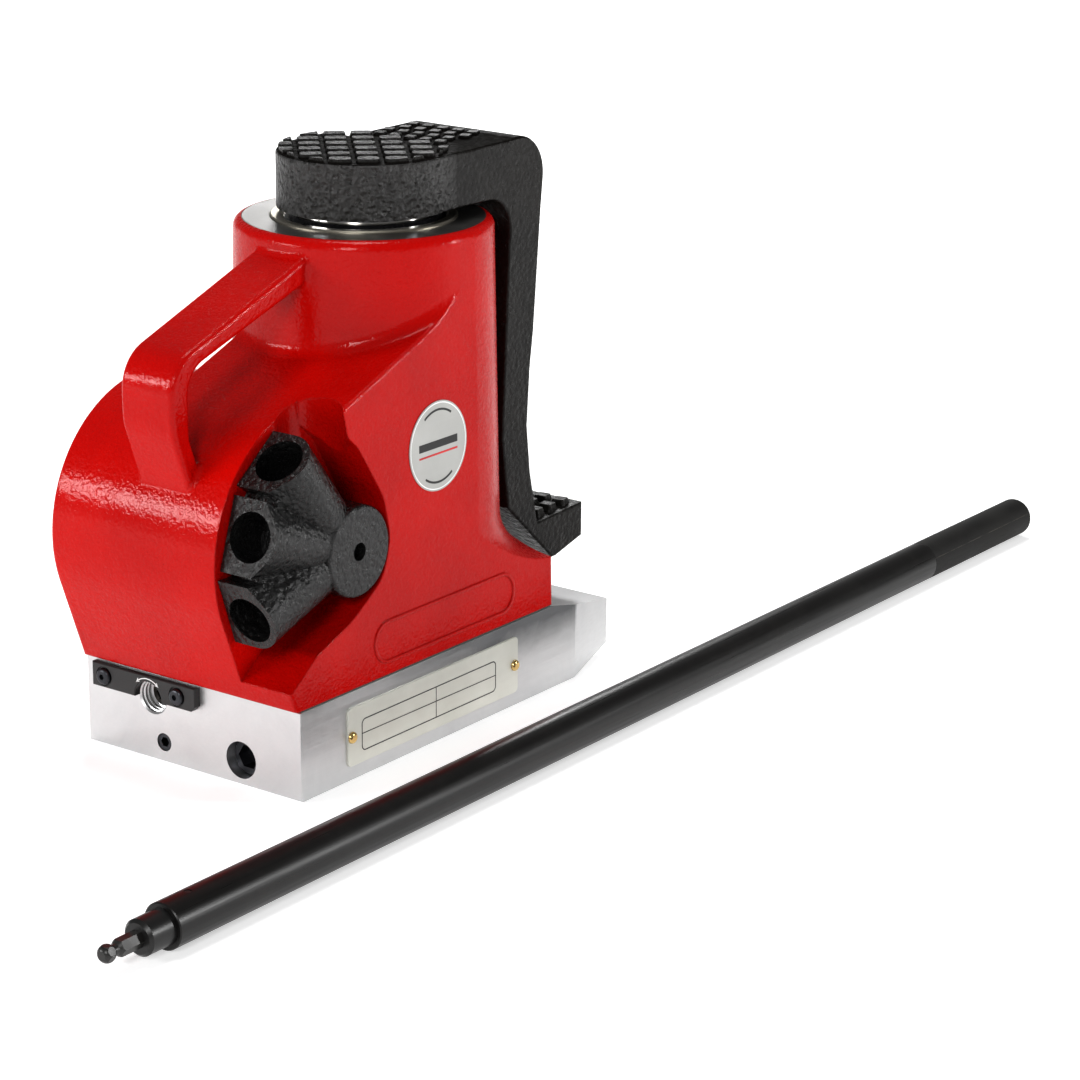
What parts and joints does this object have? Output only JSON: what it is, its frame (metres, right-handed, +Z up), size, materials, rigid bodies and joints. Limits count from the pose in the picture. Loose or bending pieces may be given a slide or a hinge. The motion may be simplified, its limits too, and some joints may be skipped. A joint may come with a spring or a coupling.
{
  "type": "hydraulic toe jack",
  "caption": "Low hydraulic toe jack: aluminium base, cast body with carry handle, ram with head and toe claw, side lever pump, release valve and separate pumping lever.",
  "frame": {"origin": "where the ram's axis meets the underside of the base", "axes": "+Z up along the ram, +X towards the toe, -Y towards the side with the pump socket and data plate"},
  "size_m": [0.871, 0.2338, 0.3165],
  "materials": {
    "red_paint": "gloss",
    "machined_aluminium": "brushed",
    "bright_steel": "satin",
    "hard_chrome": "polished",
    "black_iron": "rough cast, black",
    "black_enamel": "satin",
    "black_oxide": "black oxide",
    "black_rubber": "matte",
    "seal_polymer": "gloss",
    "bearing_bronze": "satin",
    "brass": "satin",
    "plate_alloy": "satin",
    "gasket_fibre": "matte",
    "zinc_steel": "satin"
  },
  "bodies": {
    "jack_body": {"base_block": "machined_aluminium", "body_gasket": "gasket_fibre", "cylinder_seal_ring": "seal_polymer", "body_casting": "red_paint", "cylinder_liner": "bright_steel", "gland_ring": "bearing_bronze", "rod_seal": "seal_polymer", "rod_wiper": "seal_polymer", "shaft_seal": "seal_polymer", "shaft_bush_near": "bearing_bronze", "shaft_bush_far": "bearing_bronze", "pump_barrel": "zinc_steel", "barrel_screws": "black_oxide", "plunger_seal": "seal_polymer", "plunger_gland": "bearing_bronze", "suction_ball": "bright_steel", "delivery_ball": "bright_steel", "delivery_spring": "bright_steel", "relief_ball": "bright_steel", "relief_spring": "bright_steel", "suction_strainer": "zinc_steel", "valve_cover_plate": "black_enamel", "cover_plate_screws": "black_oxide", "hex_plug": "black_oxide", "grub_plug": "black_oxide", "base_bolts": "black_oxide", "data_plate": "plate_alloy", "data_plate_screws": "brass", "badge_disc": "plate_alloy", "filler_washer": "gasket_fibre", "filler_plug": "zinc_steel"},
    "lifting_ram": {"ram": "hard_chrome", "piston_bearing": "bearing_bronze", "piston_seal": "seal_polymer", "claw": "black_iron", "claw_set_screw": "black_oxide"},
    "pump_crank": {"pump_socket": "black_iron", "pump_shaft": "bright_steel", "socket_screw": "black_oxide", "socket_key": "bright_steel", "crank_arm": "zinc_steel", "crank_key": "bright_steel", "crank_pin": "bright_steel", "crank_roller": "bright_steel"},
    "plunger": {"pump_plunger": "hard_chrome"},
    "valve_screw": {"release_valve": "bright_steel", "valve_ring_seal": "seal_polymer"},
    "lever": {"lever_tube": "black_enamel", "lever_grip": "black_rubber", "lever_spigot": "bright_steel", "lever_hex_key": "bright_steel", "lever_cross_pin": "zinc_steel"}
  },
  "joints": [
    {"name": "ram_lift", "type": "slide", "parent": "jack_body", "child": "lifting_ram", "axis": [0, 0, 1], "range_m": [0, 0.15]},
    {"name": "pump_swing", "type": "hinge", "parent": "jack_body", "child": "pump_crank", "pos_m": [-0.097, 0, 0.1245], "axis": [0, 1, 0], "range_deg": [-14, 14]},
    {"name": "plunger_stroke", "type": "slide", "parent": "jack_body", "child": "plunger", "axis": [0, 0, 1], "range_m": [-0.0059, 0.0059]},
    {"name": "valve_turn", "type": "hinge", "parent": "jack_body", "child": "valve_screw", "pos_m": [-0.15, 0.0277, 0.0355], "axis": [-1, 0, 0], "range_deg": [0, 180]},
    {"name": "lever_lift", "type": "slide", "parent": "jack_body", "child": "lever", "axis": [0, 0, 1], "range_m": [0, 0.35]}
  ],
  "couplings": [
    {"joint": "plunger_stroke", "follows": "pump_swing", "m_per_rad": 0.024}
  ]
}
